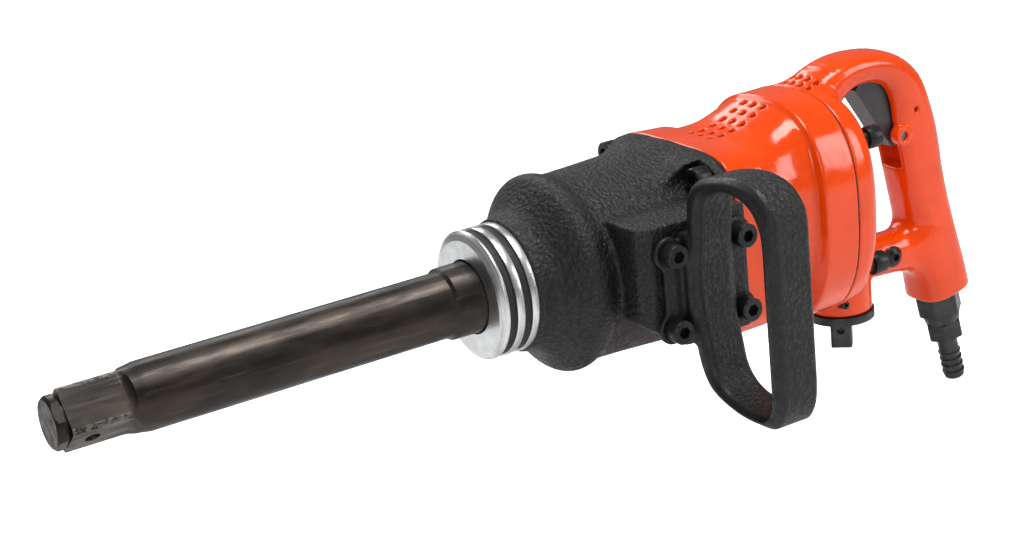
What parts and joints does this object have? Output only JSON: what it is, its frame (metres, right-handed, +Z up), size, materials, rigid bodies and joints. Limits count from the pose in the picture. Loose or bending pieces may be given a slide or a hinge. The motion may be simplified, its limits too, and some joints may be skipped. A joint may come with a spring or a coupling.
{
  "type": "impact wrench",
  "caption": "Pneumatic impact wrench with a long square-drive anvil, closed side handle, rear D-handle with trigger, reverse valve and hose barb.",
  "frame": {"origin": "centre of the anvil's front end face, on the drive axis", "axes": "+X out of the tool along the drive axis, +Y to the operator's left, +Z up"},
  "size_m": [0.5828, 0.204, 0.2234],
  "materials": {
    "black_coated_case": "black wrinkle coating, satin",
    "orange_enamel": "glossy orange enamel",
    "turned_aluminium": "bright turned",
    "black_oxide_forging": "black oxide with rubbed streaks",
    "black_oxide_screws": "black oxide, satin",
    "black_rubber": "matte",
    "gasket": "matte fibre",
    "bronze": "machined bronze",
    "hardened_steel": "ground steel",
    "bearing_steel": "polished",
    "spring_steel": "bright wire",
    "cast_iron_plates": "machined iron",
    "vane_laminate": "fibre laminate",
    "silencer_felt": "dark felt",
    "dark_zinc": "dark phosphate steel",
    "trigger_coating": "charcoal, satin"
  },
  "bodies": {
    "housing": {"hammer_case": "black_coated_case", "motor_housing": "orange_enamel", "rear_cover": "orange_enamel", "side_handle": "black_coated_case", "nose_collar": "turned_aluminium", "collar_bands": "black_rubber", "shaft_seal": "black_rubber", "anvil_bushing": "bronze", "thrust_washer": "bronze", "case_gasket": "gasket", "case_screws": "black_oxide_screws", "side_handle_screws": "black_oxide_screws", "front_end_plate": "cast_iron_plates", "rear_end_plate": "cast_iron_plates", "cylinder_liner": "cast_iron_plates", "liner_dowel": "hardened_steel", "front_bearing_outer_race": "bearing_steel", "rear_bearing_outer_race": "bearing_steel", "exhaust_silencer": "silencer_felt", "rear_gasket": "gasket", "rear_screws": "black_oxide_screws", "oil_plug": "black_oxide_screws", "grip_plug": "black_oxide_screws", "reverse_sleeve": "bronze", "set_screw": "black_oxide_screws", "detent_ball": "bearing_steel", "detent_spring": "spring_steel", "trigger_pin": "hardened_steel", "stop_pin": "hardened_steel", "throttle_sleeve": "bronze", "spring_seat": "hardened_steel", "throttle_spring": "spring_steel", "inlet_bushing": "dark_zinc", "hose_barb": "dark_zinc", "inlet_screen": "spring_steel"},
    "anvil": {"anvil": "black_oxide_forging"},
    "drive_train": {"rotor": "hardened_steel", "rotor_vanes": "vane_laminate", "front_bearing_inner_race": "bearing_steel", "rear_bearing_inner_race": "bearing_steel", "hammer_cage": "hardened_steel", "hammer_pins": "hardened_steel"},
    "front_hammer": {"front_hammer": "hardened_steel"},
    "rear_hammer": {"rear_hammer": "hardened_steel"},
    "front_bearing_balls": {"front_bearing_balls": "bearing_steel"},
    "rear_bearing_balls": {"rear_bearing_balls": "bearing_steel"},
    "trigger": {"trigger": "trigger_coating"},
    "throttle_valve": {"throttle_stem": "hardened_steel"},
    "reverse_valve": {"reverse_knob": "dark_zinc", "reverse_spool": "hardened_steel"}
  },
  "joints": [
    {"name": "anvil_spin", "type": "hinge", "parent": "housing", "child": "anvil", "pos_m": [0, 0, 0], "axis": [1, 0, 0], "continuous": true},
    {"name": "rotor_spin", "type": "hinge", "parent": "housing", "child": "drive_train", "pos_m": [-0.4, 0, 0], "axis": [1, 0, 0], "continuous": true},
    {"name": "front_hammer_rock", "type": "hinge", "parent": "drive_train", "child": "front_hammer", "pos_m": [-0.306, 0, 0.0375], "axis": [1, 0, 0], "range_deg": [-1.5, 1.5]},
    {"name": "rear_hammer_rock", "type": "hinge", "parent": "drive_train", "child": "rear_hammer", "pos_m": [-0.327, 0, -0.0375], "axis": [1, 0, 0], "range_deg": [-1.5, 1.5]},
    {"name": "front_balls_orbit", "type": "hinge", "parent": "housing", "child": "front_bearing_balls", "pos_m": [-0.3709, 0, 0], "axis": [1, 0, 0], "continuous": true},
    {"name": "rear_balls_orbit", "type": "hinge", "parent": "housing", "child": "rear_bearing_balls", "pos_m": [-0.4483, 0, 0], "axis": [1, 0, 0], "continuous": true},
    {"name": "trigger_squeeze", "type": "hinge", "parent": "housing", "child": "trigger", "pos_m": [-0.53, 0, 0.023], "axis": [0, -1, 0], "range_deg": [0, 11], "stiffness_Nm_per_rad": 2, "springref_deg": -8.59},
    {"name": "throttle_slide", "type": "slide", "parent": "housing", "child": "throttle_valve", "axis": [-1, 0, 0], "range_m": [0, 0.0041], "deforming": ["throttle_spring"]},
    {"name": "reverse_turn", "type": "hinge", "parent": "housing", "child": "reverse_valve", "pos_m": [-0.4875, 0, -0.078], "axis": [0, 0, 1], "range_deg": [0, 88]}
  ],
  "couplings": [
    {"joint": "front_balls_orbit", "follows": "rotor_spin", "ratio": 0.391},
    {"joint": "rear_balls_orbit", "follows": "rotor_spin", "ratio": 0.392},
    {"joint": "throttle_slide", "follows": "trigger_squeeze", "m_per_rad": 0.0213}
  ]
}
